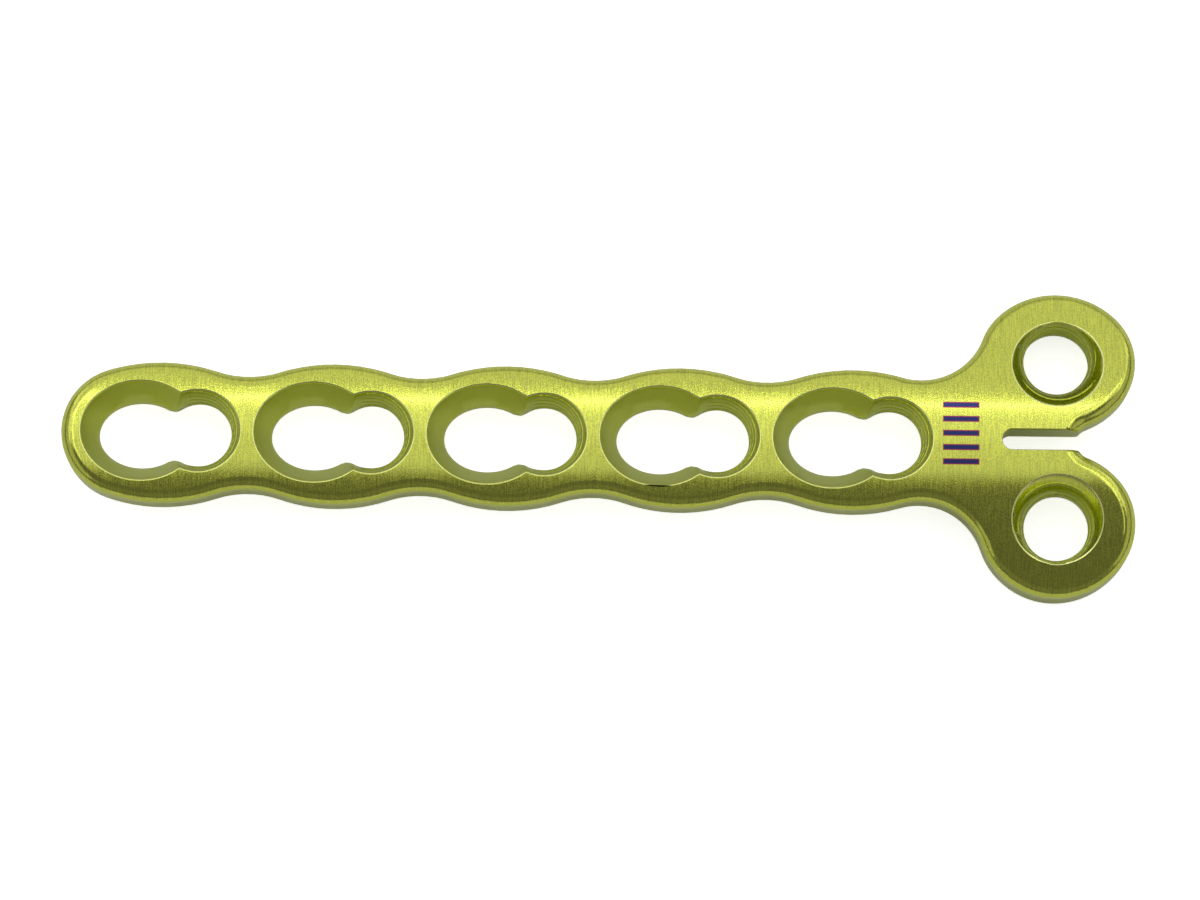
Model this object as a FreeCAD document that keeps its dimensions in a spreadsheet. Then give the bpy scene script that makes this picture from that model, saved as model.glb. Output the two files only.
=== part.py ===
import FreeCAD, Part
import Sketcher
import math
import os

# Orthopedic bone plate with a forked head, one solid milled from titanium alloy bar.
# X runs along the plate towards the head, Y across it and Z away from the bone.
# While it is drawn, X = 0 is the first locking axis at the free end and Z = 0 the top of the crown.

# Driving sizes in millimetres
SIZES = [
    ("hole_count", 5, "combination holes along the shaft"),
    ("hole_pitch", 13.0, "from one combination hole to the next"),
    ("head_reach", 12.6, "last locking axis to the line of the head holes"),
    ("shaft_width", 10.68, "across the shaft beside a hole"),
    ("swell_radius", 13.2, "outline where the shaft swells round a hole"),
    ("waist_radius", 7.6, "outline where the shaft narrows between holes"),
    ("side_wall", 1.44, "crown left on each side of a compression seat"),
    ("end_wall", 1.5, "crown left between the free end and the first seat"),
    ("thickness", 3.3, "crown to underside"),
    ("crown_radius", 28.0, "arch of the crown across the plate"),
    ("top_rounding", 1.0, "outer edge of the crown"),
    ("bottom_break", 0.25, "outer edge of the underside"),
    ("lobe_width", 10.8, "head lobe across the plate"),
    ("lobe_gap", 1.6, "between the two head lobes"),
    ("lobe_stretch", 1.0, "by which a lobe is longer along the plate than across it"),
    ("lobe_flatness", 0.4, "half a lobe's width, less the radius of its two ends"),
    ("neck_radius", 5.0, "outline from the shaft into a head lobe"),
    ("notch_radius", 1.3, "bottom of the notch between the lobes"),
    ("seat_shift", 4.3, "locking axis to the middle of the compression hole"),
    ("seat_stretch", 1.2, "by which the oval seat is longer than it is wide, at the crown"),
    ("throat_width", 5.0, "oval throat under the seat, across the plate"),
    ("throat_stretch", 1.5, "by which the throat is longer than it is wide"),
    ("throat_land", 0.35, "straight flank of the throat, up from the underside"),
    ("lock_bore_radius", 2.5, "locking hole, bore for the thread"),
    ("lock_land", 1.3, "straight length of a locking bore, up from the underside"),
    ("lock_taper_radius", 2.85, "locking hole where its tapered thread starts"),
    ("lock_rim_radius", 3.2, "lead-in of a locking hole at the crown"),
    ("lock_rim_depth", 0.7, "depth of that lead-in"),
    ("head_hole_shift", 0.2, "middle of a lobe outwards to its hole, at the crown"),
    ("head_hole_lean", 1.5, "degrees that the head holes close in towards the bone"),
    ("head_rim_radius", 3.4, "lead-in of a head hole at the crown"),
    ("slot_width", 1.5, "saw slot between the lobes"),
    ("slot_reach", 4.2, "line of the head holes to the closed end of the slot"),
]


def make_sizes(doc):
    sheet = doc.addObject("Spreadsheet::Sheet", "Sizes")
    for row, (alias, value, meaning) in enumerate(SIZES, start=1):
        sheet.set(f"A{row}", meaning)
        sheet.set(f"B{row}", str(value))
        sheet.setAlias(f"B{row}", alias)
    doc.recompute()
    return sheet


# Expressions that several sketches share
HEAD_X = "(Sizes.hole_count - 1) * Sizes.hole_pitch + Sizes.head_reach"
LOBE_Y = "(Sizes.lobe_width + Sizes.lobe_gap) / 2"
HEAD_HOLE_Y = f"({LOBE_Y} + Sizes.head_hole_shift)"
SEAT_WIDTH = "(Sizes.shaft_width - 2 * Sizes.side_wall)"
SEAT_LENGTH = f"({SEAT_WIDTH} + Sizes.seat_stretch)"
SEAT_END = f"(Sizes.seat_shift + {SEAT_LENGTH} / 2)"
THROAT_LENGTH = "(Sizes.throat_width + Sizes.throat_stretch)"
FREE_END = f"({SEAT_END} + Sizes.end_wall)"
SWELL_SHIFT = f"({SEAT_END} - Sizes.lock_rim_radius) / 2"
UNDERSIDE_RADIUS = "(Sizes.crown_radius - Sizes.thickness)"
LOBE_END_RADIUS = "(Sizes.lobe_width / 2 - Sizes.lobe_flatness)"
LOBE_END_SHIFT = "(Sizes.lobe_stretch / 2 + Sizes.lobe_flatness)"
STOCK_HALF_WIDTH = f"{LOBE_Y} + Sizes.lobe_width / 2 + Sizes.top_rounding"
STOCK_HEIGHT = f"2 * (Sizes.thickness + {STOCK_HALF_WIDTH})"
RUN_OUT = "Sizes.thickness / 2"


def origin_feature(body, role):
    return next(feature for feature in body.Origin.OriginFeatures if feature.Role == role)


def new_sketch(body, name, plane):
    sketch = body.newObject("Sketcher::SketchObject", name)
    sketch.AttachmentSupport = [(origin_feature(body, plane), "")]
    sketch.MapMode = "FlatFace"
    return sketch


def value_of(sketch, expression):
    return float(sketch.evalExpression(expression))


def dimension(sketch, kind, where, expression):
    index = sketch.addConstraint(Sketcher.Constraint(kind, *where, value_of(sketch, expression)))
    name = f"{kind}_{index}"
    sketch.renameConstraint(index, name)
    sketch.setExpression(f"Constraints.{name}", expression)


def place(sketch, geometry, point, across, along):
    """Dimension a point from the sketch's origin, leaving out a direction given as None."""
    if across is not None:
        dimension(sketch, "DistanceX", (-1, 1, geometry, point), across)
    if along is not None:
        dimension(sketch, "DistanceY", (-1, 1, geometry, point), along)


def draw_polygon(sketch, corners):
    """A closed outline of straight lines, each corner given as a pair of expressions."""
    points = [FreeCAD.Vector(value_of(sketch, x), value_of(sketch, y), 0) for x, y in corners]
    lines = []
    for index, point in enumerate(points):
        following = points[(index + 1) % len(points)]
        lines.append(sketch.addGeometry(Part.LineSegment(point, following)))
    for index, line in enumerate(lines):
        following = lines[(index + 1) % len(lines)]
        sketch.addConstraint(Sketcher.Constraint("Coincident", line, 2, following, 1))
    for line, (x, y) in zip(lines, corners):
        place(sketch, line, 1, x, y)
    return lines


class Round:
    """One arc of the outline, hollow where its centre lies outside the plate."""

    def __init__(self, x, y, radius, hollow=False):
        self.centre = FreeCAD.Vector(x, y, 0)
        self.radius = radius
        self.hollow = hollow

    def touches(self, other):
        """Where this arc runs into the next one."""
        way = (other.centre - self.centre).normalize()
        if self.hollow == other.hollow and self.radius < other.radius:
            way = way * -1
        return self.centre + way * self.radius

    def arc(self, first, last):
        """The arc drawn anticlockwise, with the ends' numbers in the order of the outline."""
        ends = [(point - self.centre) for point in (first, last)]
        angles = [math.atan2(end.y, end.x) for end in ends]
        if not self.hollow:
            angles.reverse()
        circle = Part.Circle(self.centre, FreeCAD.Vector(0, 0, 1), self.radius)
        return Part.ArcOfCircle(circle, *angles)

    def ends(self):
        return (1, 2) if self.hollow else (2, 1)


def outer_meeting(first, second):
    """The upper point at one given distance from each of two centres, each a (point, distance)."""
    (one, reach), (other, other_reach) = first, second
    span = (other - one).Length
    along = (span**2 + reach**2 - other_reach**2) / (2 * span)
    aside = math.sqrt(reach**2 - along**2)
    way = (other - one).normalize()
    return one + way * along + FreeCAD.Vector(-way.y, way.x, 0) * aside


def draw_half_outline(sketch):
    """The upper half of the plate's outline, arcs that run into each other, closed along the axis."""

    def size(alias):
        return value_of(sketch, f"Sizes.{alias}")

    count = int(size("hole_count"))
    swell_radius = size("swell_radius")
    waist_radius = size("waist_radius")
    swell_y = size("shaft_width") / 2 - swell_radius
    swell_x = [index * size("hole_pitch") - value_of(sketch, SWELL_SHIFT) for index in range(count)]
    tip_x = -value_of(sketch, FREE_END)
    head_x = value_of(sketch, HEAD_X)
    lobe_y = value_of(sketch, LOBE_Y)

    # The free end's arc touches the first swell from inside
    reach = swell_x[0] - tip_x
    tip_radius = (reach**2 + swell_y**2 - swell_radius**2) / (2 * (reach - swell_radius))
    chain = [Round(tip_x + tip_radius, 0, tip_radius)]

    # Each waist sits midway between two swells
    waist_y = swell_y + math.sqrt((swell_radius + waist_radius) ** 2 - (size("hole_pitch") / 2) ** 2)
    for index, x in enumerate(swell_x):
        if index:
            chain.append(Round((x + swell_x[index - 1]) / 2, waist_y, waist_radius, hollow=True))
        chain.append(Round(x, swell_y, swell_radius))

    # A head lobe is an oval of two side arcs and two flatter ones
    side_radius = value_of(sketch, LOBE_END_RADIUS)
    side_shift = value_of(sketch, LOBE_END_SHIFT)
    half_width = size("lobe_width") / 2
    flat_radius = (half_width**2 + side_shift**2 - side_radius**2) / (2 * (half_width - side_radius))
    flat_shift = flat_radius - half_width
    left_side = Round(head_x - side_shift, lobe_y, side_radius)
    neck_radius = size("neck_radius")
    neck_centre = outer_meeting(
        (chain[-1].centre, swell_radius + neck_radius), (left_side.centre, side_radius + neck_radius)
    )
    chain.append(Round(neck_centre.x, neck_centre.y, neck_radius, hollow=True))
    chain.append(left_side)
    chain.append(Round(head_x, lobe_y - flat_shift, flat_radius))
    chain.append(Round(head_x + side_shift, lobe_y, side_radius))
    chain.append(Round(head_x, lobe_y + flat_shift, flat_radius))

    # The notch between the lobes has its centre on the axis
    notch_radius = size("notch_radius")
    notch_shift = math.sqrt((flat_radius + notch_radius) ** 2 - (lobe_y + flat_shift) ** 2)
    chain.append(Round(head_x + notch_shift, 0, notch_radius, hollow=True))

    tip = FreeCAD.Vector(tip_x, 0, 0)
    notch = FreeCAD.Vector(head_x + notch_shift - notch_radius, 0, 0)
    joints = [tip] + [one.touches(other) for one, other in zip(chain, chain[1:])] + [notch]
    arcs = []
    for index, piece in enumerate(chain):
        arcs.append(sketch.addGeometry(piece.arc(joints[index], joints[index + 1])))
    axis_line = sketch.addGeometry(Part.LineSegment(notch, tip))

    # Each arc runs smoothly into the next
    for index in range(len(chain) - 1):
        leave = chain[index].ends()[1]
        enter = chain[index + 1].ends()[0]
        sketch.addConstraint(Sketcher.Constraint("Tangent", arcs[index], leave, arcs[index + 1], enter))
    sketch.addConstraint(Sketcher.Constraint("Coincident", axis_line, 2, arcs[0], chain[0].ends()[0]))
    sketch.addConstraint(Sketcher.Constraint("Coincident", axis_line, 1, arcs[-1], chain[-1].ends()[1]))
    for geometry, point in ((axis_line, 1), (axis_line, 2), (arcs[0], 3), (arcs[-1], 3)):
        sketch.addConstraint(Sketcher.Constraint("PointOnObject", geometry, point, -1))

    # Sizes of the shaft
    place(sketch, axis_line, 2, f"-{FREE_END}", None)
    for index in range(count):
        swell = arcs[1 + 2 * index]
        place(
            sketch,
            swell,
            3,
            f"{index} * Sizes.hole_pitch - {SWELL_SHIFT}",
            "Sizes.shaft_width / 2 - Sizes.swell_radius",
        )
        dimension(sketch, "Radius", (swell,), "Sizes.swell_radius")
        if index:
            dimension(sketch, "Radius", (arcs[2 * index],), "Sizes.waist_radius")

    # Sizes of the head
    neck, left, outer, right, inner, notch_arc = arcs[-6:]
    dimension(sketch, "Radius", (neck,), "Sizes.neck_radius")
    dimension(sketch, "Radius", (left,), LOBE_END_RADIUS)
    dimension(sketch, "Radius", (notch_arc,), "Sizes.notch_radius")
    place(sketch, left, 3, f"{HEAD_X} - {LOBE_END_SHIFT}", LOBE_Y)
    place(sketch, right, 3, f"{HEAD_X} + {LOBE_END_SHIFT}", LOBE_Y)
    for arc, side in ((outer, 1), (inner, -1)):
        place(sketch, arc, 3, HEAD_X, None)
        crest = sketch.addGeometry(Part.Point(FreeCAD.Vector(head_x, lobe_y + side * half_width, 0)))
        place(sketch, crest, 1, HEAD_X, f"{LOBE_Y} + {side} * Sizes.lobe_width / 2")
        sketch.toggleConstruction(crest)
        sketch.addConstraint(Sketcher.Constraint("PointOnObject", crest, 1, arc))


def pad_outline(body):
    """The outline at full stock height, its upper half mirrored over the axis."""
    sketch = new_sketch(body, "OutlineSketch", "XY_Plane")
    draw_half_outline(sketch)
    pad = body.newObject("PartDesign::Pad", "HalfOutline")
    pad.Profile = sketch
    pad.SideType = "Symmetric"
    pad.setExpression("Length", STOCK_HEIGHT)
    mirrored = body.newObject("PartDesign::Mirrored", "Outline")
    mirrored.Originals = [pad]
    mirrored.MirrorPlane = (origin_feature(body, "XZ_Plane"), [""])
    body.Tip = mirrored


def cut_through(body, name, sketch):
    pocket = body.newObject("PartDesign::Pocket", name)
    pocket.Profile = sketch
    pocket.Type = "ThroughAll"
    pocket.SideType = "Symmetric"
    body.Tip = pocket
    return pocket


def cut_arch(body, name, radius, far_side):
    """Cut all that lies above the crown, or below the underside, along the whole plate."""
    sketch = new_sketch(body, f"{name}Sketch", "YZ_Plane")
    half = value_of(sketch, STOCK_HALF_WIDTH)
    arch_radius = value_of(sketch, radius)
    centre_z = -value_of(sketch, "Sizes.crown_radius")
    end_z = centre_z + math.sqrt(arch_radius**2 - half**2)
    far_z = value_of(sketch, far_side)
    centre = FreeCAD.Vector(0, centre_z, 0)
    lean = math.asin(half / arch_radius)
    circle = Part.Circle(centre, FreeCAD.Vector(0, 0, 1), arch_radius)
    arc = sketch.addGeometry(Part.ArcOfCircle(circle, math.pi / 2 - lean, math.pi / 2 + lean))
    corners = [(-half, end_z), (-half, far_z), (half, far_z), (half, end_z)]
    points = [FreeCAD.Vector(x, y, 0) for x, y in corners]
    sides = [sketch.addGeometry(Part.LineSegment(a, b)) for a, b in zip(points, points[1:])]
    sketch.addConstraint(Sketcher.Constraint("Coincident", arc, 2, sides[0], 1))
    sketch.addConstraint(Sketcher.Constraint("Coincident", sides[0], 2, sides[1], 1))
    sketch.addConstraint(Sketcher.Constraint("Coincident", sides[1], 2, sides[2], 1))
    sketch.addConstraint(Sketcher.Constraint("Coincident", sides[2], 2, arc, 1))
    for side, direction in zip(sides, ("Vertical", "Horizontal", "Vertical")):
        sketch.addConstraint(Sketcher.Constraint(direction, side))
    sketch.addConstraint(Sketcher.Constraint("PointOnObject", arc, 3, -2))
    place(sketch, arc, 3, None, "-Sizes.crown_radius")
    dimension(sketch, "Radius", (arc,), radius)
    place(sketch, sides[1], 1, f"-({STOCK_HALF_WIDTH})", far_side)
    place(sketch, sides[1], 2, STOCK_HALF_WIDTH, None)
    cut_through(body, name, sketch)


def arch_face(body, arch_radius):
    """The crown or the underside, told apart by the radius of its arch."""
    radius = value_of(body, arch_radius)
    for face in body.Tip.Shape.Faces:
        surface = face.Surface
        if isinstance(surface, Part.Cylinder) and abs(surface.Axis.x) > 0.999:
            if abs(surface.Radius - radius) < 1e-6:
                return face
    raise RuntimeError(f"No face with the radius {arch_radius}")


def dress_outer_edges(body, kind, name, size, arch_radius):
    """Round or chamfer the outer edge of the crown or of the underside, all round the plate."""
    body.Document.recompute()
    base = body.Tip
    edges = arch_face(body, arch_radius).OuterWire.Edges
    numbered = enumerate(base.Shape.Edges, start=1)
    chosen = [f"Edge{number}" for number, edge in numbered if any(map(edge.isSame, edges))]
    dressing = body.newObject(f"PartDesign::{kind}", name)
    dressing.Base = (base, chosen)
    dressing.setExpression("Radius" if kind == "Fillet" else "Size", size)
    body.Tip = dressing


def locking_profile(sketch, rim_radius):
    """Half section of a locking hole: straight bore, tapered thread and a lead-in at the crown."""
    slope = f"({rim_radius} - Sizes.lock_taper_radius) / Sizes.lock_rim_depth"
    draw_polygon(
        sketch,
        [
            ("0", RUN_OUT),
            ("0", f"-Sizes.thickness - {RUN_OUT}"),
            ("Sizes.lock_bore_radius", f"-Sizes.thickness - {RUN_OUT}"),
            ("Sizes.lock_bore_radius", "Sizes.lock_land - Sizes.thickness"),
            ("Sizes.lock_taper_radius", "-Sizes.lock_rim_depth"),
            (f"{rim_radius} + {RUN_OUT} * {slope}", RUN_OUT),
        ],
    )


def groove(body, name, sketch):
    cut = body.newObject("PartDesign::Groove", name)
    cut.Profile = sketch
    cut.ReferenceAxis = (sketch, ["V_Axis"])
    cut.Angle = 360
    body.Tip = cut
    return cut


def draw_oval(sketch, length, width):
    """An ellipse with its long axis along the plate and its middle in that of the seat."""
    middle = -value_of(sketch, "Sizes.seat_shift")
    half_length = value_of(sketch, length) / 2
    half_width = value_of(sketch, width) / 2
    centre = FreeCAD.Vector(middle, 0, 0)
    long_end = FreeCAD.Vector(middle + half_length, 0, 0)
    short_end = FreeCAD.Vector(middle, half_width, 0)
    oval = sketch.addGeometry(Part.Ellipse(long_end, short_end, centre))
    sketch.exposeInternalGeometry(oval)
    long_axis = oval + 1
    short_axis = oval + 2
    sketch.addConstraint(Sketcher.Constraint("Horizontal", long_axis))
    sketch.addConstraint(Sketcher.Constraint("PointOnObject", oval, 3, -1))
    place(sketch, oval, 3, "-Sizes.seat_shift", None)
    dimension(sketch, "Distance", (long_axis,), length)
    dimension(sketch, "Distance", (short_axis,), width)


def seat_size(at_crown, at_throat, height):
    """A width or length of the seat at a height, its wall one slope from the crown to the throat."""
    return f"{at_crown} + ({height}) * ({at_crown} - {at_throat}) / (Sizes.thickness - Sizes.throat_land)"


def cut_seat(body):
    """The oval seat that the head of a compression screw slides in, flared from throat to crown."""
    sections = []
    for name, height in (("SeatTop", RUN_OUT), ("SeatBottom", "-Sizes.thickness")):
        sketch = new_sketch(body, f"{name}Sketch", "XY_Plane")
        sketch.setExpression("AttachmentOffset.Base.z", height)
        draw_oval(
            sketch,
            seat_size(SEAT_LENGTH, THROAT_LENGTH, height),
            seat_size(SEAT_WIDTH, "Sizes.throat_width", height),
        )
        sections.append(sketch)
    seat = body.newObject("PartDesign::SubtractiveLoft", "Seat")
    seat.Profile = sections[0]
    seat.Sections = sections[1:]
    seat.Ruled = True
    body.Tip = seat
    return seat


def cut_throat(body):
    """The upright oval opening that the compression screw's shank moves in."""
    sketch = new_sketch(body, "ThroatSketch", "XY_Plane")
    draw_oval(sketch, THROAT_LENGTH, "Sizes.throat_width")
    return cut_through(body, "Throat", sketch)


def draw_slot(sketch, left, right, radius):
    """A round-ended slot along X, its ends' centres given as expressions."""
    far = FreeCAD.Vector(value_of(sketch, left), 0, 0)
    near = FreeCAD.Vector(value_of(sketch, right), 0, 0)
    up = FreeCAD.Vector(0, value_of(sketch, radius), 0)
    normal = FreeCAD.Vector(0, 0, 1)
    quarter = math.pi / 2
    far_end = Part.ArcOfCircle(Part.Circle(far, normal, up.y), quarter, 3 * quarter)
    near_end = Part.ArcOfCircle(Part.Circle(near, normal, up.y), -quarter, quarter)
    far_arc = sketch.addGeometry(far_end)
    near_arc = sketch.addGeometry(near_end)
    lower = sketch.addGeometry(Part.LineSegment(far - up, near - up))
    upper = sketch.addGeometry(Part.LineSegment(near + up, far + up))
    for first, first_end, second, second_end in (
        (far_arc, 2, lower, 1),
        (lower, 2, near_arc, 1),
        (near_arc, 2, upper, 1),
        (upper, 2, far_arc, 1),
    ):
        sketch.addConstraint(Sketcher.Constraint("Tangent", first, first_end, second, second_end))
    for arc, centre in ((far_arc, left), (near_arc, right)):
        sketch.addConstraint(Sketcher.Constraint("PointOnObject", arc, 3, -1))
        place(sketch, arc, 3, centre, None)
    dimension(sketch, "Radius", (far_arc,), radius)


def cut_combination_holes(body):
    """A compression slot that runs into a threaded locking hole, repeated along the shaft."""
    lock_sketch = new_sketch(body, "LockSketch", "XZ_Plane")
    locking_profile(lock_sketch, "Sizes.lock_rim_radius")
    cuts = [
        cut_throat(body),
        groove(body, "Lock", lock_sketch),
        cut_seat(body),
    ]
    pattern = body.newObject("PartDesign::LinearPattern", "CombinationHoles")
    pattern.Originals = cuts
    pattern.Direction = (origin_feature(body, "X_Axis"), [""])
    pattern.setExpression("Length", "(Sizes.hole_count - 1) * Sizes.hole_pitch")
    pattern.setExpression("Occurrences", "Sizes.hole_count")
    body.Tip = pattern


def cut_head_holes(body):
    """One locking hole in each lobe, square to the plate but for a slight lean towards its mate."""
    sketch = new_sketch(body, "HeadHoleSketch", "XZ_Plane")
    sketch.AttachmentOffset = FreeCAD.Placement(
        FreeCAD.Vector(0, 0, 0), FreeCAD.Rotation(FreeCAD.Vector(-1, 0, 0), 1)
    )
    sketch.setExpression("AttachmentOffset.Base.x", HEAD_X)
    arch_drop = f"Sizes.crown_radius - sqrt(Sizes.crown_radius ^ 2 - {HEAD_HOLE_Y} ^ 2)"
    sketch.setExpression("AttachmentOffset.Base.y", f"-({arch_drop})")
    sketch.setExpression("AttachmentOffset.Base.z", f"-{HEAD_HOLE_Y}")
    sketch.setExpression("AttachmentOffset.Rotation.Angle", "Sizes.head_hole_lean")
    locking_profile(sketch, "Sizes.head_rim_radius")
    hole = groove(body, "HeadHole", sketch)
    mirrored = body.newObject("PartDesign::Mirrored", "HeadHoles")
    mirrored.Originals = [hole]
    mirrored.MirrorPlane = (origin_feature(body, "XZ_Plane"), [""])
    body.Tip = mirrored


def cut_saw_slot(body):
    """The slot on the axis, open into the notch between the lobes."""
    sketch = new_sketch(body, "SawSlotSketch", "XY_Plane")
    closed_end = f"{HEAD_X} - Sizes.slot_reach + Sizes.slot_width / 2"
    draw_slot(sketch, closed_end, f"{HEAD_X} + Sizes.lobe_width", "Sizes.slot_width / 2")
    cut_through(body, "SawSlot", sketch)


def stand_on_origin(body):
    """Move the plate so that its lowest points are at Z = 0 and its middle is over the origin."""
    body.Document.recompute()
    box = body.Shape.optimalBoundingBox(True, False)
    body.Placement.Base = FreeCAD.Vector(-box.Center.x, -box.Center.y, -box.ZMin)


def make_plate(doc):
    body = doc.addObject("PartDesign::Body", "BonePlate")
    body.Label = "bone_plate"
    pad_outline(body)
    cut_arch(body, "Crown", "Sizes.crown_radius", STOCK_HEIGHT)
    cut_arch(body, "Underside", UNDERSIDE_RADIUS, f"-({STOCK_HEIGHT})")
    cut_combination_holes(body)
    cut_head_holes(body)
    dress_outer_edges(body, "Fillet", "TopRounding", "Sizes.top_rounding", "Sizes.crown_radius")
    dress_outer_edges(body, "Chamfer", "BottomBreak", "Sizes.bottom_break", UNDERSIDE_RADIUS)
    cut_saw_slot(body)
    stand_on_origin(body)
    return body


def check_document(doc):
    doc.recompute()
    for item in doc.Objects:
        if "Invalid" in item.State or "Error" in item.State:
            raise RuntimeError(f"{item.Name} failed: {item.State}")


def write_parts(bodies):
    os.makedirs("parts", exist_ok=True)
    for body in bodies:
        shape = body.Shape
        if shape.isNull() or not shape.isValid() or len(shape.Solids) != 1:
            raise RuntimeError(f"{body.Label} isn't one sound solid")
        shape.exportStep(f"parts/{body.Label}.step")


doc = FreeCAD.newDocument("BonePlate")
make_sizes(doc)
plate = make_plate(doc)
check_document(doc)
write_parts([plate])
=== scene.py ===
import math

import bmesh
import bpy
from mathutils import Matrix, Vector


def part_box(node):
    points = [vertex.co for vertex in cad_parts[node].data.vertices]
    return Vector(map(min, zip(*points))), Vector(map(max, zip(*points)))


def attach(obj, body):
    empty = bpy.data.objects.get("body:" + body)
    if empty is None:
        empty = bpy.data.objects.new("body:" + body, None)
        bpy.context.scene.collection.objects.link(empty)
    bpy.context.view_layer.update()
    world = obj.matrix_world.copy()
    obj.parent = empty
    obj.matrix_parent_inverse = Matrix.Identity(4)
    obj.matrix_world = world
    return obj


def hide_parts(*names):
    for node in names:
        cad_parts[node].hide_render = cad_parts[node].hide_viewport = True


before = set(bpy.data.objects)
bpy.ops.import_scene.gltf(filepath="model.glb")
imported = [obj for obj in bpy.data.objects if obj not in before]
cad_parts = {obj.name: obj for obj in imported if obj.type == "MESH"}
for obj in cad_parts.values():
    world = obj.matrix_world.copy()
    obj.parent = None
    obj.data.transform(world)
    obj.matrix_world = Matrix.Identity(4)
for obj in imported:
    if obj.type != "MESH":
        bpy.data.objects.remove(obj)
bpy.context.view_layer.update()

MM = 0.001

# The plate's sizes, as its solid has them

CROWN_RADIUS = 28.0 * MM
THICKNESS = 3.3 * MM
UNDERSIDE_RADIUS = CROWN_RADIUS - THICKNESS
CROWN_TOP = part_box("bone_plate")[1].z
UNDERSIDE = CROWN_TOP - THICKNESS
CROWN_AXIS_Z = CROWN_TOP - CROWN_RADIUS
HOLE_PITCH = 13.0 * MM
HOLE_COUNT = 5
FIRST_LOCK_X = -30.1 * MM
LAST_LOCK_X = FIRST_LOCK_X + (HOLE_COUNT - 1) * HOLE_PITCH
HEAD_X = 34.5 * MM
HEAD_HOLE_Y = 6.4 * MM
HEAD_HOLE_LEAN = math.radians(1.5)

# Wall of a locking hole: a straight land, a taper and a lead-in at the rim

BORE_RADIUS = 2.5 * MM
BORE_LAND = 1.3 * MM
TAPER_RADIUS = 2.85 * MM
RIM_DEPTH = 0.7 * MM
LOCK_RIM_RADIUS = 3.2 * MM
HEAD_RIM_RADIUS = 3.4 * MM


def crown_height(y):
    return CROWN_AXIS_Z + math.sqrt(CROWN_RADIUS**2 - y**2)


def underside_height(y):
    return CROWN_AXIS_Z + math.sqrt(UNDERSIDE_RADIUS**2 - y**2)


def crown_normal(point):
    return Vector((0, point.y, point.z - CROWN_AXIS_Z)).normalized()


def unique(items):
    """Each item once, in the order they come, so that every run gives the same mesh."""
    return list(dict.fromkeys(items))


def finish_mesh(shape, name, material):
    """Turn a bmesh into an object that rides with the plate."""
    bmesh.ops.recalc_face_normals(shape, faces=shape.faces)
    mesh = bpy.data.meshes.new(name)
    shape.to_mesh(mesh)
    shape.free()
    piece = bpy.data.objects.new(name, mesh)
    bpy.context.scene.collection.objects.link(piece)
    mesh.materials.append(material)
    mesh.shade_smooth()
    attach(piece, "root")
    return piece


# Anodised metal under a thin clear oxide layer

GOLD_GREEN = (0.555, 0.60, 0.065)
DEEP_GREEN = (0.54, 0.60, 0.03)
# Paler colour for the steeper faces of the rounded rims: a painted highlight, the bright line that the rims
# catch
RIM_HIGHLIGHT_COLOUR = (0.80, 0.83, 0.30)
DARKEST = 0.78
LIGHTEST = 1.2
ROUGHNESS_SPREAD = 0.05
COAT_WEIGHT = 0.28
COAT_ROUGHNESS = 0.10
COAT_IOR = 2.2

# Brush lines and grain, as repeats in a metre, and the depth of their relief

FINE_SCALE = 11000.0
LONG_SCALE = 700.0
RELIEF_DEPTH = 0.006 * MM


def new_group(name, inputs, outputs):
    """A shader node group with its named inputs, kinds and values, and its named outputs and kinds."""
    group = bpy.data.node_groups.new(name, "ShaderNodeTree")
    for label, kind, value in inputs:
        socket = group.interface.new_socket(label, in_out="INPUT", socket_type=kind)
        socket.default_value = value
    for label, kind in outputs:
        group.interface.new_socket(label, in_out="OUTPUT", socket_type=kind)
    return group


class Wiring:
    """Adds nodes to a tree and joins them, values and links alike."""

    def __init__(self, tree):
        self.tree = tree

    def add(self, kind, settings=None, **sockets):
        node = self.tree.nodes.new(kind)
        for key, value in (settings or {}).items():
            setattr(node, key, value)
        for key, value in sockets.items():
            self.feed(node, key.replace("_", " "), value)
        return node

    def feed(self, node, label, value):
        socket = next(s for s in node.inputs if s.name == label and s.enabled)
        if isinstance(value, bpy.types.NodeSocket):
            self.tree.links.new(value, socket)
        else:
            socket.default_value = value

    def math(self, operation, first, second=0.0, third=0.0, clamp=False):
        node = self.tree.nodes.new("ShaderNodeMath")
        node.operation = operation
        node.use_clamp = clamp
        for index, value in enumerate((first, second, third)):
            if isinstance(value, bpy.types.NodeSocket):
                self.tree.links.new(value, node.inputs[index])
            else:
                node.inputs[index].default_value = value
        return node.outputs[0]

    def ramp(self, value, stops):
        node = self.tree.nodes.new("ShaderNodeValToRGB")
        while len(node.color_ramp.elements) < len(stops):
            node.color_ramp.elements.new(0.5)
        for element, (position, colour) in zip(node.color_ramp.elements, stops):
            element.position = position
            element.color = (*colour, 1)
        self.tree.links.new(value, node.inputs[0])
        return node.outputs[0]


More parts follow.
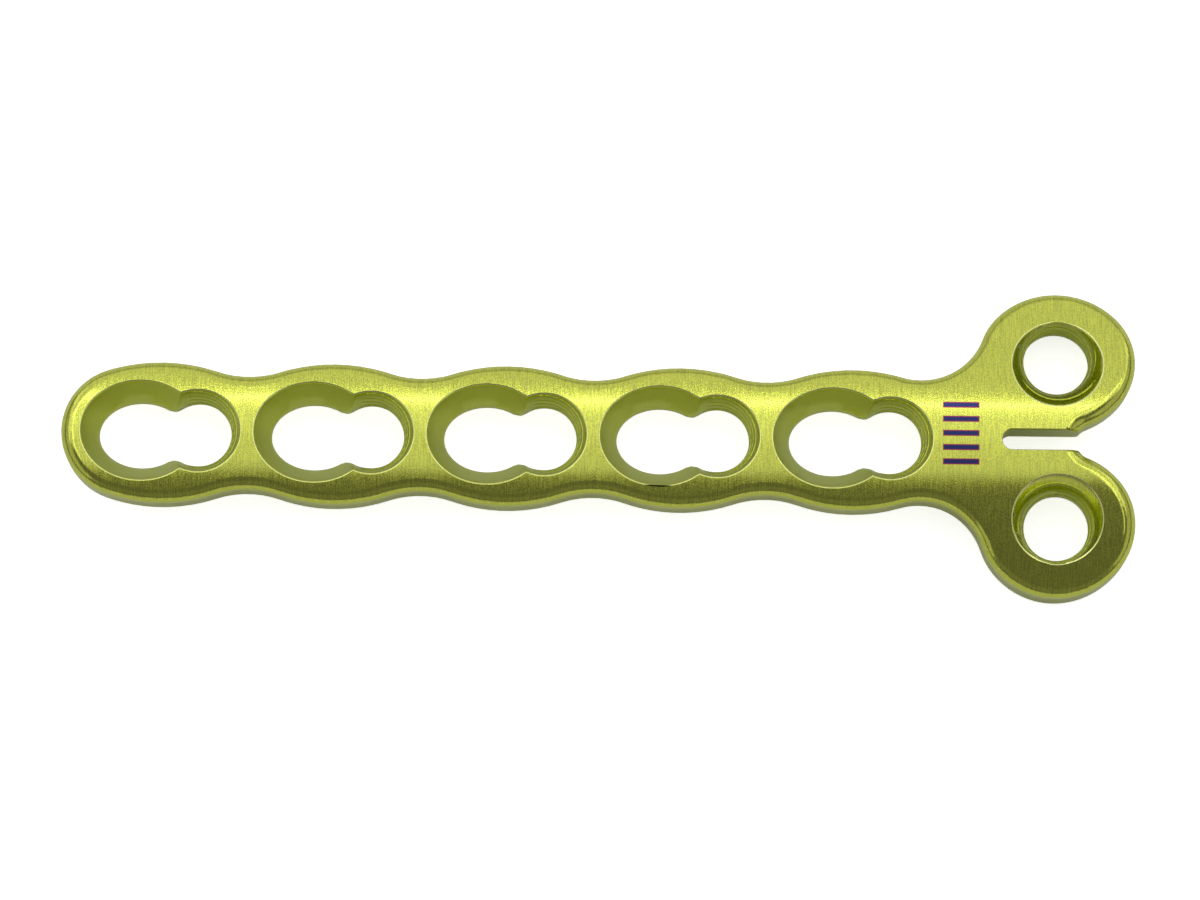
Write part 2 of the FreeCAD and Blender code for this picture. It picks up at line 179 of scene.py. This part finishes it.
def brush_group():
    """Fine brush lines across the plate and the sparkle of blasted metal between them."""
    group = new_group(
        "brush_and_sparkle",
        [
            ("Vector", "NodeSocketVector", (0, 0, 0)),
            ("Lines", "NodeSocketFloat", 1.0),
            ("Grain", "NodeSocketFloat", 1.0),
        ],
        [("Height", "NodeSocketFloat"), ("Tone", "NodeSocketFloat")],
    )
    w = Wiring(group)
    source = w.add("NodeGroupInput")
    sink = w.add("NodeGroupOutput")
    vector = source.outputs["Vector"]
    long_scale = (FINE_SCALE, LONG_SCALE, LONG_SCALE)
    stretched = w.add("ShaderNodeMapping", Vector=vector, Scale=long_scale).outputs[0]
    lines = w.add("ShaderNodeTexNoise", Vector=stretched, Scale=1.0, Detail=3.0, Roughness=0.6).outputs[0]
    even = w.add("ShaderNodeMapping", Vector=vector, Scale=(FINE_SCALE,) * 3).outputs[0]
    grain = w.add("ShaderNodeTexNoise", Vector=even, Scale=1.0, Detail=2.0, Roughness=0.7).outputs[0]
    line_part = w.math("MULTIPLY", w.math("SUBTRACT", lines, 0.5), source.outputs["Lines"])
    grain_part = w.math("MULTIPLY", w.math("SUBTRACT", grain, 0.5), source.outputs["Grain"])
    total = w.math("ADD", line_part, grain_part)
    w.feed(sink, "Height", total)
    w.feed(sink, "Tone", w.math("ADD", total, 0.5, clamp=True))
    return group


brush = brush_group()


def anodised_metal(name, colour, roughness, lines, grain, bump):
    material = bpy.data.materials.new(name)
    material.use_nodes = True
    tree = material.node_tree
    tree.nodes.clear()
    w = Wiring(tree)
    output = w.add("ShaderNodeOutputMaterial")
    shader = w.add("ShaderNodeBsdfPrincipled", Metallic=1.0)
    shader.inputs["Coat Weight"].default_value = COAT_WEIGHT
    shader.inputs["Coat Roughness"].default_value = COAT_ROUGHNESS
    shader.inputs["Coat IOR"].default_value = COAT_IOR
    w.feed(output, "Surface", shader.outputs[0])
    place = w.add("ShaderNodeTexCoord").outputs["Object"]
    texture = w.add("ShaderNodeGroup", {"node_tree": brush}, Vector=place, Lines=lines, Grain=grain)
    tone = texture.outputs["Tone"]
    dark = tuple(part * DARKEST for part in colour)
    light = tuple(min(1.0, part * LIGHTEST) for part in colour)
    w.feed(shader, "Base Color", w.ramp(tone, [(0.3, dark), (0.7, light)]))
    span = w.add("ShaderNodeMapRange", Value=tone)
    span.inputs["To Min"].default_value = roughness - ROUGHNESS_SPREAD
    span.inputs["To Max"].default_value = roughness + ROUGHNESS_SPREAD
    w.feed(shader, "Roughness", span.outputs[0])
    height = texture.outputs["Height"]
    bumped = w.add("ShaderNodeBump", Strength=bump, Distance=RELIEF_DEPTH, Height=height)
    w.feed(shader, "Normal", bumped.outputs[0])
    return material


# Mark on the head: a row of plain bars, dark blue with a violet edge and a thin red fringe

MARK_X = 27.2 * MM
MARK_Y = 0.43 * MM
BAR_COUNT = 5
BAR_PITCH = 1.08 * MM
BAR_WIDTH = 0.42 * MM
BAR_LENGTH = 2.7 * MM
DARK_BLUE = (0.02, 0.035, 0.12)
VIOLET = (0.06, 0.025, 0.12)
FRINGE_RED = (0.32, 0.04, 0.07)

# Shades of the mark, from 0 at 0.2 mm inside a bar's edge to 1 at 0.2 mm outside it

MARK_REACH = 0.2 * MM
BLUE_AT = 0.10
VIOLET_AT = 0.32
FRINGE_AT = 0.48
MARK_END = 0.62


def tally_group():
    """Distance outside the nearest bar of the mark, negative inside it."""
    group = new_group(
        "tally_bars",
        [("Vector", "NodeSocketVector", (0, 0, 0))],
        [("Distance", "NodeSocketFloat")],
    )
    w = Wiring(group)
    source = w.add("NodeGroupInput")
    sink = w.add("NodeGroupOutput")
    parts = w.add("ShaderNodeSeparateXYZ", Vector=source.outputs["Vector"]).outputs
    along = w.math("ABSOLUTE", w.math("SUBTRACT", parts[0], MARK_X))
    row = w.math("DIVIDE", w.math("SUBTRACT", parts[1], MARK_Y), BAR_PITCH)
    last = (BAR_COUNT - 1) / 2
    nearest = w.math("ROUND", w.math("MINIMUM", w.math("MAXIMUM", row, -last), last))
    across = w.math("MULTIPLY", w.math("ABSOLUTE", w.math("SUBTRACT", row, nearest)), BAR_PITCH)
    past_end = w.math("SUBTRACT", along, BAR_LENGTH / 2)
    past_side = w.math("SUBTRACT", across, BAR_WIDTH / 2)
    w.feed(sink, "Distance", w.math("MAXIMUM", past_end, past_side))
    return group


def add_mark(material):
    """Colour the bars, with no clear layer over them."""
    w = Wiring(material.node_tree)
    shader = next(node for node in material.node_tree.nodes if node.type == "BSDF_PRINCIPLED")
    place = w.add("ShaderNodeTexCoord").outputs["Object"]
    bars = w.add("ShaderNodeGroup", {"node_tree": tally_group()}, Vector=place)
    span = w.add("ShaderNodeMapRange", Value=bars.outputs["Distance"])
    span.inputs["From Min"].default_value = -MARK_REACH
    span.inputs["From Max"].default_value = MARK_REACH
    shade = span.outputs[0]
    colour = w.ramp(shade, [(BLUE_AT, DARK_BLUE), (VIOLET_AT, VIOLET), (FRINGE_AT, FRINGE_RED)])
    mask = w.add("ShaderNodeMapRange", Value=shade)
    mask.inputs["From Min"].default_value = MARK_END
    mask.inputs["From Max"].default_value = FRINGE_AT
    plain = shader.inputs["Base Color"].links[0].from_socket
    mixed = w.add("ShaderNodeMix", {"data_type": "RGBA"})
    w.feed(mixed, "Factor", mask.outputs[0])
    w.feed(mixed, "A", plain)
    w.feed(mixed, "B", colour)
    w.feed(shader, "Base Color", mixed.outputs[2])
    w.feed(shader, "Coat Weight", w.math("MULTIPLY_ADD", mask.outputs[0], -COAT_WEIGHT, COAT_WEIGHT))


crown_finish = anodised_metal("anodised_crown", GOLD_GREEN, roughness=0.14, lines=1.1, grain=1.6, bump=0.3)
wall_finish = anodised_metal("anodised_walls", DEEP_GREEN, roughness=0.30, lines=0.0, grain=0.4, bump=0.3)
# The rims' finish: its paler colour is a painted highlight along the rounded rims
rim_highlight_finish = anodised_metal("anodised_rims_painted_highlight", RIM_HIGHLIGHT_COLOUR, roughness=0.2, lines=0.0, grain=0.5, bump=0.2)
thread_finish = anodised_metal("anodised_thread", DEEP_GREEN, roughness=0.28, lines=0.2, grain=0.3, bump=0.2)
add_mark(crown_finish)


# The plate's body: the solid's own mesh, merged, with its rims rounded and its cusps blunted

CROWN_SLOT = 0
WALL_SLOT = 1
RIM_HIGHLIGHT_SLOT = 2
MERGE_DISTANCE = 0.0005 * MM
SHORTEST_EDGE = 0.0002 * MM
ON_SURFACE = 0.004 * MM
FACET_SAG = 0.006 * MM
CROWN_BLEND = math.radians(16)
WALL_SLOPE = 0.55
SHARP = math.radians(30)

# Rims on the crown: how far they are rounded, and how shallow an edge may leave them

RIM_ANGLE = math.radians(20)
RIM_BREAK = 0.1 * MM
RIM_SEGMENTS = 4
SHALLOW = math.radians(32)

# Cusps, where a seat runs into its locking hole: where they stand and how blunt they are

CUSP_BACK = 1.6 * MM
CUSP_OUT = 2.3 * MM
CUSP_ROOM_X = 0.7 * MM
CUSP_ROOM_Y = 1.1 * MM
CUSP_WALL_ROOM_X = 1.2 * MM
CUSP_LIMIT_Y = 3.3 * MM
CUSP_STEEPNESS = 0.5
UPRIGHT = 0.7
NOSE_RADIUS_LOW = 0.6 * MM
NOSE_RADIUS_TOP = 0.02 * MM
HALF_ANGLE_LOW = math.radians(45)
HALF_ANGLE_TOP = math.radians(59)
NOSE_STEP = 0.12 * MM
NOSE_CUTS = 6


def on_crown(point, within=ON_SURFACE):
    return abs(math.hypot(point.y, point.z - CROWN_AXIS_Z) - CROWN_RADIUS) < within


def on_underside(point):
    return abs(math.hypot(point.y, point.z - CROWN_AXIS_Z) - UNDERSIDE_RADIUS) < ON_SURFACE


def soften(shape, edges, offset, segments):
    """Round some edges over and give the new faces back."""
    result = bmesh.ops.bevel(
        shape,
        geom=edges,
        offset=offset,
        offset_type="OFFSET",
        affect="EDGES",
        segments=segments,
        profile=0.5,
        material=-1,
        clamp_overlap=False,
    )
    return result["faces"]


def sharp_edges(shape, limit, wanted):
    """Edges between two faces that meet at more than an angle, and whose ends are wanted."""
    return [
        edge
        for edge in shape.edges
        if len(edge.link_faces) == 2 and edge.calc_face_angle(0) > limit and wanted(*edge.verts)
    ]


def free_rims(shape, rims):
    """Join crown facets whose edges leave a rim at a shallow angle, so that its rounding stays even."""
    on_rim = set(rims)
    shallow = []
    for rim in rims:
        for vert in rim.verts:
            along = rim.other_vert(vert).co - vert.co
            for edge in vert.link_edges:
                other = edge.other_vert(vert)
                if edge in on_rim or not on_crown(other.co):
                    continue
                if along.angle(other.co - vert.co) < SHALLOW:
                    shallow.append(edge)
    bmesh.ops.dissolve_edges(shape, edges=unique(shallow), use_verts=False, use_face_split=False)
    shape.normal_update()


def is_cusp(first, second):
    """Whether an edge is one of the upright ones where a seat runs into its locking hole."""
    rise = abs(first.co.z - second.co.z)
    run = math.hypot(first.co.x - second.co.x, first.co.y - second.co.y)
    in_shaft = first.co.x < LAST_LOCK_X
    on_top = on_crown(first.co) and on_crown(second.co)
    below = on_underside(first.co) and on_underside(second.co)
    steep = rise > CUSP_STEEPNESS * run
    return in_shaft and steep and not on_top and not below and abs(first.co.y) < CUSP_LIMIT_Y


def along_line(points, z):
    """Place at a height on a line of points sorted from low to high."""
    for low, high in zip(points, points[1:]):
        if low.z <= z <= high.z and high.z > low.z:
            return low.lerp(high, (z - low.z) / (high.z - low.z))
    return points[0] if z < points[0].z else points[-1]


def cut_beside_cusp(shape, walls, line):
    """Cut the walls by a cusp into narrow strips that run up along it, and give the strips back."""
    lean = (line[-1].x - line[0].x) / (line[-1].z - line[0].z)
    for cut in range(-NOSE_CUTS, NOSE_CUTS + 1):
        if cut == 0:
            continue
        edges = unique(edge for face in walls for edge in face.edges)
        verts = unique(vert for face in walls for vert in face.verts)
        result = bmesh.ops.bisect_plane(
            shape,
            geom=[*walls, *edges, *verts],
            dist=MERGE_DISTANCE,
            plane_co=line[0] + Vector((cut * NOSE_STEP, 0, 0)),
            plane_no=Vector((1, 0, -lean)).normalized(),
        )
        walls = [item for item in result["geom"] if isinstance(item, bmesh.types.BMFace)]
    return walls


def blunt_point(vert, line, side):
    """Draw a point of a cusp's walls back onto the round of its nose, if it lies outside the round."""
    share = (vert.co.z - line[0].z) / (line[-1].z - line[0].z)
    tip = along_line(line, vert.co.z)
    radius = NOSE_RADIUS_LOW + (NOSE_RADIUS_TOP - NOSE_RADIUS_LOW) * share
    half_angle = HALF_ANGLE_LOW + (HALF_ANGLE_TOP - HALF_ANGLE_LOW) * share
    centre = Vector((tip.x, tip.y + side * radius / math.sin(half_angle)))
    away = vert.co.xy - centre
    turned = abs(math.atan2(away.x, -side * away.y))
    if away.length <= radius or turned >= math.pi / 2 - half_angle:
        return
    on_top = on_crown(vert.co)
    below = on_underside(vert.co)
    vert.co.xy = centre + away.normalized() * radius
    if on_top:
        vert.co.z = crown_height(vert.co.y)
    if below:
        vert.co.z = underside_height(vert.co.y)


def round_nose(shape, lock_x, side):
    """Blunt one cusp between a seat and its locking hole, most at its lower end."""
    cusp_x = lock_x - CUSP_BACK
    cusp_y = side * CUSP_OUT

    def close(vert, room):
        return abs(vert.co.x - cusp_x) < room and abs(vert.co.y - cusp_y) < CUSP_ROOM_Y

    def wanted(first, second):
        return is_cusp(first, second) and close(first, CUSP_ROOM_X)

    edge_verts = unique(vert for edge in sharp_edges(shape, SHARP, wanted) for vert in edge.verts)
    line = sorted((vert.co.copy() for vert in edge_verts), key=lambda point: point.z)
    walls = [
        face
        for face in shape.faces
        if abs(face.normal.z) < UPRIGHT and any(close(vert, CUSP_WALL_ROOM_X) for vert in face.verts)
    ]
    strips = cut_beside_cusp(shape, walls, line)
    for vert in unique(vert for face in strips for vert in face.verts):
        blunt_point(vert, line, side)


def even_crown_shading(mesh):
    """Give corners on the crown the arch's own normals, so that its long facets don't show."""
    normals = []
    for loop, corner in zip(mesh.loops, mesh.corner_normals):
        point = mesh.vertices[loop.vertex_index].co
        normal = corner.vector.copy()
        if on_crown(point, FACET_SAG) and normal.angle(crown_normal(point)) < CROWN_BLEND:
            normal = crown_normal(point)
        normals.append(normal)
    mesh.normals_split_custom_set(normals)


def make_plate():
    shape = bmesh.new()
    shape.from_mesh(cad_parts["bone_plate"].data)
    bmesh.ops.remove_doubles(shape, verts=shape.verts, dist=MERGE_DISTANCE)
    bmesh.ops.dissolve_degenerate(shape, edges=shape.edges, dist=SHORTEST_EDGE)
    shape.normal_update()
    rims = sharp_edges(shape, RIM_ANGLE, lambda first, second: on_crown(first.co) and on_crown(second.co))
    free_rims(shape, rims)
    rim_faces = soften(shape, rims, RIM_BREAK, RIM_SEGMENTS)
    shape.normal_update()
    for face in shape.faces:
        face.material_index = CROWN_SLOT if face.normal.z > WALL_SLOPE else WALL_SLOT
    # Rounded rim faces that tilt away from the crown take the paler finish, a painted highlight
    for face in rim_faces:
        tilt = face.normal.angle(crown_normal(face.calc_center_median()), 0)
        face.material_index = CROWN_SLOT if tilt < CROWN_BLEND else RIM_HIGHLIGHT_SLOT
    for index in range(HOLE_COUNT):
        for side in (1, -1):
            round_nose(shape, FIRST_LOCK_X + index * HOLE_PITCH, side)
    piece = finish_mesh(shape, "plate_body", crown_finish)
    piece.data.materials.append(wall_finish)
    piece.data.materials.append(rim_highlight_finish)
    piece.data.set_sharp_from_angle(angle=SHARP)
    even_crown_shading(piece.data)
    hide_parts("bone_plate")


make_plate()


# Threads of the locking holes, as ridges on their walls

THREAD_PITCH = 0.58 * MM
THREAD_HEIGHT = 0.06 * MM
THREAD_ROOT = 0.03 * MM
THREAD_FOOT = 0.36 * THREAD_PITCH
TURN_STEPS = 48
FEWEST_STEPS = 3
FADE_ANGLE = 0.35

# Turns in the shaft's holes, and half the angle of their opening to the seat at the foot and the crown

SHAFT_TURNS = 5
SHAFT_FIRST_TURN = 0.3 * MM
HALF_OPENING_LOW = math.radians(57)
HALF_OPENING_TOP = math.radians(69)

# Turns in the head's holes, their room to the crown and underside, and the cosine of half the shortest

HEAD_TURNS = range(-1, 6)
HEAD_FIRST_TURN = 0.1 * MM
THREAD_ROOM = 0.4 * THREAD_PITCH + 0.08 * MM
SHORTEST_STRETCH = 0.8


def wall_radius(height, rim_radius):
    """Radius of a locking hole at a height over its lower end."""
    rim_foot = THICKNESS - RIM_DEPTH
    if height > rim_foot:
        return TAPER_RADIUS + (rim_radius - TAPER_RADIUS) * (height - rim_foot) / RIM_DEPTH
    taper = max(0.0, (height - BORE_LAND) / (rim_foot - BORE_LAND))
    return BORE_RADIUS + (TAPER_RADIUS - BORE_RADIUS) * taper


def thread_stretch(shape, height, middle, half_sweep, rim_radius, placing):
    """A stretch of helical ridge about its middle, at most one turn, thinning out at open ends."""
    whole = math.isclose(half_sweep, math.pi, abs_tol=0.01)
    steps = max(FEWEST_STEPS, round(TURN_STEPS * half_sweep / math.pi))
    rise = THREAD_PITCH * half_sweep / math.pi
    profile = [(THREAD_ROOT, -THREAD_FOOT), (-THREAD_HEIGHT, 0.0), (THREAD_ROOT, THREAD_FOOT)]
    start = Matrix.Rotation(middle - half_sweep, 3, "Z")
    low = height - rise / 2
    earlier = set(shape.verts)
    verts = [shape.verts.new(start @ Vector((BORE_RADIUS + out, 0, low + up))) for out, up in profile]
    cap = shape.faces.new(verts)
    bmesh.ops.spin(
        shape,
        geom=[cap, *cap.verts, *cap.edges],
        cent=(0, 0, 0),
        axis=(0, 0, 1),
        dvec=(0, 0, rise / steps),
        angle=2 * half_sweep,
        steps=steps,
    )
    for vert in [vert for vert in shape.verts if vert not in earlier]:
        radius = math.hypot(vert.co.x, vert.co.y)
        off_middle = abs(math.remainder(math.atan2(vert.co.y, vert.co.x) - middle, 2 * math.pi))
        depth = radius - BORE_RADIUS
        if not whole and depth < 0:
            depth *= min(1.0, max(0.0, (half_sweep - off_middle) / FADE_ANGLE))
        scale = (wall_radius(vert.co.z, rim_radius) + depth) / radius
        vert.co.x *= scale
        vert.co.y *= scale
        vert.co = placing @ vert.co


def close_ends(shape):
    open_edges = [edge for edge in shape.edges if edge.is_boundary]
    if open_edges:
        bmesh.ops.holes_fill(shape, edges=open_edges, sides=4)


def make_shaft_threads():
    """Threads of the locking holes in the shaft, open where each hole runs into its seat."""
    shape = bmesh.new()
    for index in range(HOLE_COUNT):
        placing = Matrix.Translation((FIRST_LOCK_X + index * HOLE_PITCH, 0, UNDERSIDE))
        for turn in range(SHAFT_TURNS):
            height = SHAFT_FIRST_TURN + turn * THREAD_PITCH
            half_opening = HALF_OPENING_LOW + (HALF_OPENING_TOP - HALF_OPENING_LOW) * height / THICKNESS
            thread_stretch(shape, height, 0.0, math.pi - half_opening, LOCK_RIM_RADIUS, placing)
    close_ends(shape)
    finish_mesh(shape, "shaft_hole_threads", thread_finish)


def arch_reach(arch_radius, level):
    """How far from the plate's middle line an arch about the crown's axis is at a level over the axis."""
    return math.sqrt(max(0.0, arch_radius**2 - level**2))


def make_head_threads():
    """Threads of the two head holes, left out where the arch has carried the wall away."""
    shape = bmesh.new()
    crown_z = crown_height(HEAD_HOLE_Y)
    for side in (1, -1):
        lean = Matrix.Rotation(-side * HEAD_HOLE_LEAN, 4, "X")
        placing = Matrix.Translation((HEAD_X, side * HEAD_HOLE_Y, crown_z)) @ lean
        placing = placing @ Matrix.Translation((0, 0, -THICKNESS))
        outward = side * math.pi / 2
        for turn in HEAD_TURNS:
            height = HEAD_FIRST_TURN + turn * THREAD_PITCH
            radius = wall_radius(height, HEAD_RIM_RADIUS)
            level = crown_z - THICKNESS + height - CROWN_AXIS_Z
            low = level - THREAD_ROOM - THREAD_PITCH / 2
            high = level + THREAD_ROOM + THREAD_PITCH / 2
            outer = (arch_reach(UNDERSIDE_RADIUS, low) - HEAD_HOLE_Y) / radius
            inner = (arch_reach(CROWN_RADIUS, high) - HEAD_HOLE_Y) / radius
            if outer <= -1 and inner >= 1:
                thread_stretch(shape, height, outward, math.pi, HEAD_RIM_RADIUS, placing)
            elif -1 < outer < SHORTEST_STRETCH:
                thread_stretch(shape, height, outward, math.acos(outer), HEAD_RIM_RADIUS, placing)
            elif outer <= -1 and -SHORTEST_STRETCH < inner < 1:
                half_sweep = math.pi - math.acos(inner)
                thread_stretch(shape, height, -outward, half_sweep, HEAD_RIM_RADIUS, placing)
    close_ends(shape)
    finish_mesh(shape, "head_hole_threads", thread_finish)


make_shaft_threads()
make_head_threads()


# Camera as in the photograph, looking almost straight down from a little in front

CAMERA_DISTANCE = 494.0 * MM
CAMERA_TURN = math.radians(0.626)
CAMERA_SIDE_LEAN = math.radians(-0.164)
CAMERA_FRONT_LEAN = math.radians(9.329)
AIM = Vector((0, 0, 3.0 * MM))
SENSOR_WIDTH = 36.0
PIXELS_PER_MM = 13.249
PIXELS_ACROSS = 1200
PIXELS_RIGHT = 1.4
PIXELS_UP = -8.9


def add_camera():
    data = bpy.data.cameras.new("camera")
    camera = bpy.data.objects.new("camera", data)
    bpy.context.scene.collection.objects.link(camera)
    turn = (
        Matrix.Rotation(CAMERA_TURN, 3, "Z")
        @ Matrix.Rotation(CAMERA_SIDE_LEAN, 3, "Y")
        @ Matrix.Rotation(CAMERA_FRONT_LEAN, 3, "X")
    )
    camera.location = AIM + turn @ Vector((0, 0, CAMERA_DISTANCE))
    camera.rotation_euler = turn.to_euler()
    data.sensor_width = SENSOR_WIDTH
    data.lens = PIXELS_PER_MM * (CAMERA_DISTANCE / MM) / PIXELS_ACROSS * SENSOR_WIDTH
    data.shift_x = PIXELS_RIGHT / PIXELS_ACROSS
    data.shift_y = PIXELS_UP / PIXELS_ACROSS
    data.clip_start = 0.05
    data.clip_end = 20
    bpy.context.scene.camera = camera


add_camera()


# Floor, lamps and surroundings

FLOOR_HALF_WIDTH = 3.0
FLOOR_COLOUR = (0.9, 0.9, 0.9, 1)
FLOOR_ROUGHNESS = 0.9
FLOOR_SEEN = 0.75
FLOOR_MIRRORED = 0.04
SURROUNDINGS = 0.17
WHITE = (1, 1, 1, 1)


def add_floor():
    """A pale floor that shows nearly white to the camera and only faintly in the metal."""
    shape = bmesh.new()
    bmesh.ops.create_grid(shape, x_segments=1, y_segments=1, size=FLOOR_HALF_WIDTH)
    mesh = bpy.data.meshes.new("floor")
    shape.to_mesh(mesh)
    shape.free()
    floor = bpy.data.objects.new("floor", mesh)
    bpy.context.scene.collection.objects.link(floor)
    material = bpy.data.materials.new("floor")
    material.use_nodes = True
    shader = material.node_tree.nodes["Principled BSDF"]
    shader.inputs["Base Color"].default_value = FLOOR_COLOUR
    shader.inputs["Roughness"].default_value = FLOOR_ROUGHNESS
    shader.inputs["Emission Color"].default_value = WHITE
    w = Wiring(material.node_tree)
    rays = w.add("ShaderNodeLightPath").outputs
    mirrored = w.math("MULTIPLY", rays["Is Glossy Ray"], FLOOR_MIRRORED)
    glow = w.math("MULTIPLY_ADD", rays["Is Camera Ray"], FLOOR_SEEN, mirrored)
    w.feed(shader, "Emission Strength", glow)
    mesh.materials.append(material)


def add_panel(name, lean_x, lean_y, size, level):
    """A lamp 1 m from the plate, leant in degrees towards +X and +Y, with the brightness it shows."""
    slope_x = math.tan(math.radians(lean_x))
    slope_y = math.tan(math.radians(lean_y))
    way = Vector((slope_x, slope_y, 1.0)).normalized()
    along = Vector((0, 1, 0)).cross(way).normalized()
    data = bpy.data.lights.new(name, "AREA")
    data.shape = "RECTANGLE"
    data.size, data.size_y = size
    data.energy = level * math.pi * size[0] * size[1]
    lamp = bpy.data.objects.new(name, data)
    lamp.location = way
    lamp.rotation_euler = Matrix((along, way.cross(along), way)).transposed().to_euler()
    bpy.context.scene.collection.objects.link(lamp)


def add_surroundings():
    world = bpy.data.worlds.new("world")
    world.use_nodes = True
    background = world.node_tree.nodes["Background"]
    background.inputs["Color"].default_value = WHITE
    background.inputs["Strength"].default_value = SURROUNDINGS
    bpy.context.scene.world = world
    bpy.context.scene.view_settings.view_transform = "Standard"


add_floor()
add_panel("overhead_low", lean_x=0, lean_y=8.5, size=(2.2, 0.42), level=0.72)
add_panel("overhead_middle", lean_x=0, lean_y=14.5, size=(2.2, 0.2), level=0.25)
add_panel("overhead_high", lean_x=0, lean_y=44, size=(2.2, 0.9), level=0.67)
add_panel("strip", lean_x=0, lean_y=20.3, size=(1.1, 0.022), level=3.6)
add_panel("back", lean_x=0, lean_y=78, size=(2.0, 0.3), level=0.4)
add_panel("front", lean_x=0, lean_y=-62, size=(2.0, 0.7), level=0.05)
add_panel("left", lean_x=-15, lean_y=9, size=(0.16, 0.6), level=0.9)
add_panel("right", lean_x=18, lean_y=-4, size=(0.16, 0.6), level=0.9)
add_panel("left_side", lean_x=-60, lean_y=0, size=(0.7, 2.0), level=0.35)
add_panel("right_side", lean_x=60, lean_y=0, size=(0.7, 2.0), level=0.35)
add_surroundings()
